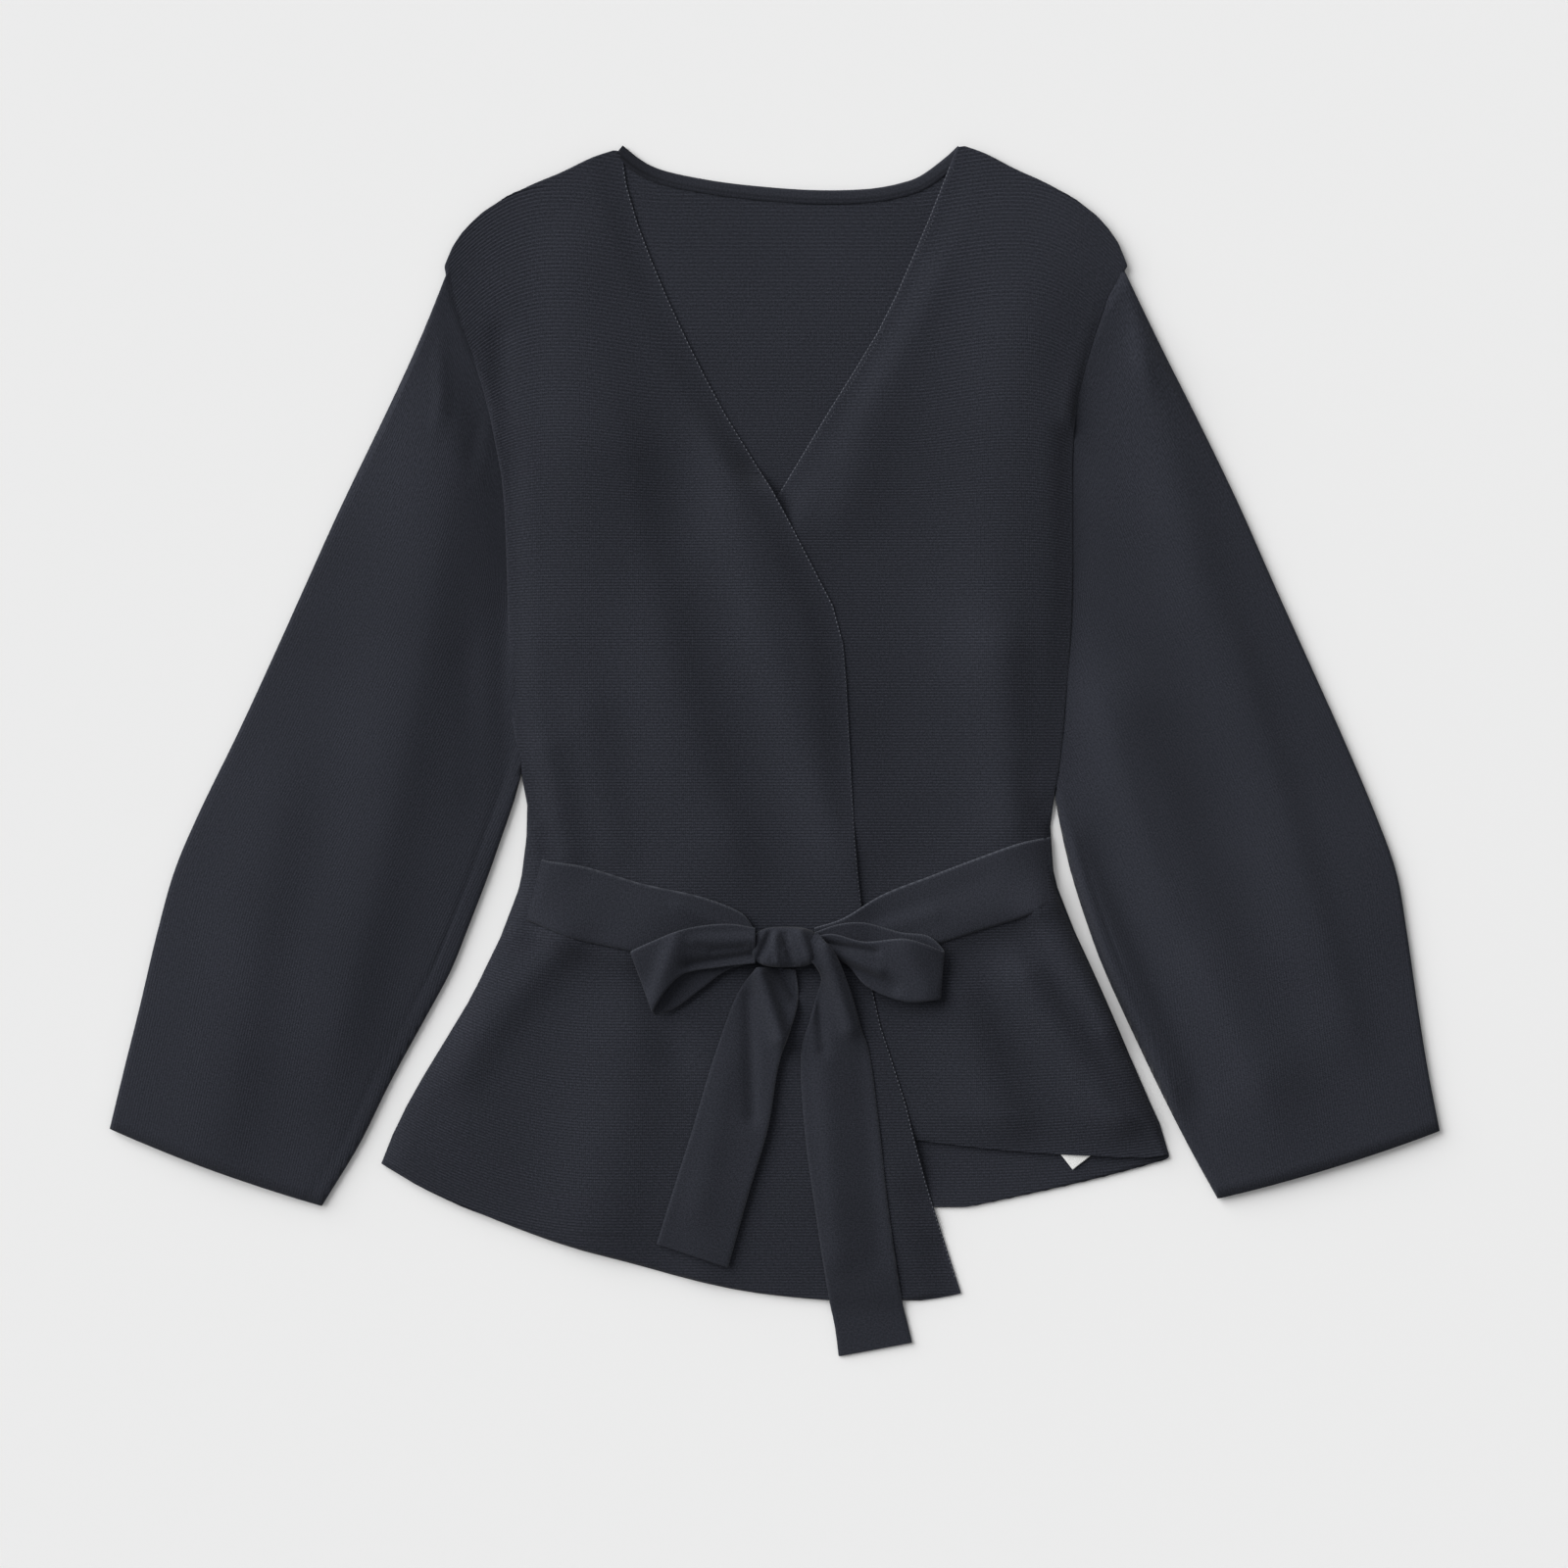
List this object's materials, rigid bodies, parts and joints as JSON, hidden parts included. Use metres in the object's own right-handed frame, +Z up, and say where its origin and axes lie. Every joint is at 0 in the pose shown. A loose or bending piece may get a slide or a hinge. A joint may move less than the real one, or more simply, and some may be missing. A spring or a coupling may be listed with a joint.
{
  "type": "knit wrap jacket laid flat",
  "caption": "Fine-rib knit wrap jacket with a V neck, wide sleeves, a flared skirt and a self belt tied in a bow, laid flat face up.",
  "frame": {"origin": "on the floor, under the middle of the garment as it lies", "axes": "+X towards the wearer's left sleeve, +Y towards the neck, +Z up out of the front"},
  "size_m": [0.8494, 0.7744, 0.0257],
  "materials": {
    "rib_knit": "matt fine rib knit, dark navy",
    "belt_knit": "matt smooth knit tape, dark navy",
    "label_tape": "blank white satin tape"
  },
  "bodies": {
    "root": {"back": "rib_knit", "back_neck_band": "belt_knit", "front_right": "rib_knit", "front_left": "rib_knit", "sleeve_right": "rib_knit", "sleeve_left": "rib_knit", "belt_right_strip": "belt_knit", "belt_left_strip": "belt_knit", "bow_knot": "belt_knit", "bow_loop_right": "belt_knit", "bow_loop_left": "belt_knit", "tail_right": "belt_knit", "tail_left": "belt_knit", "care_label": "label_tape"}
  },
  "joints": []
}
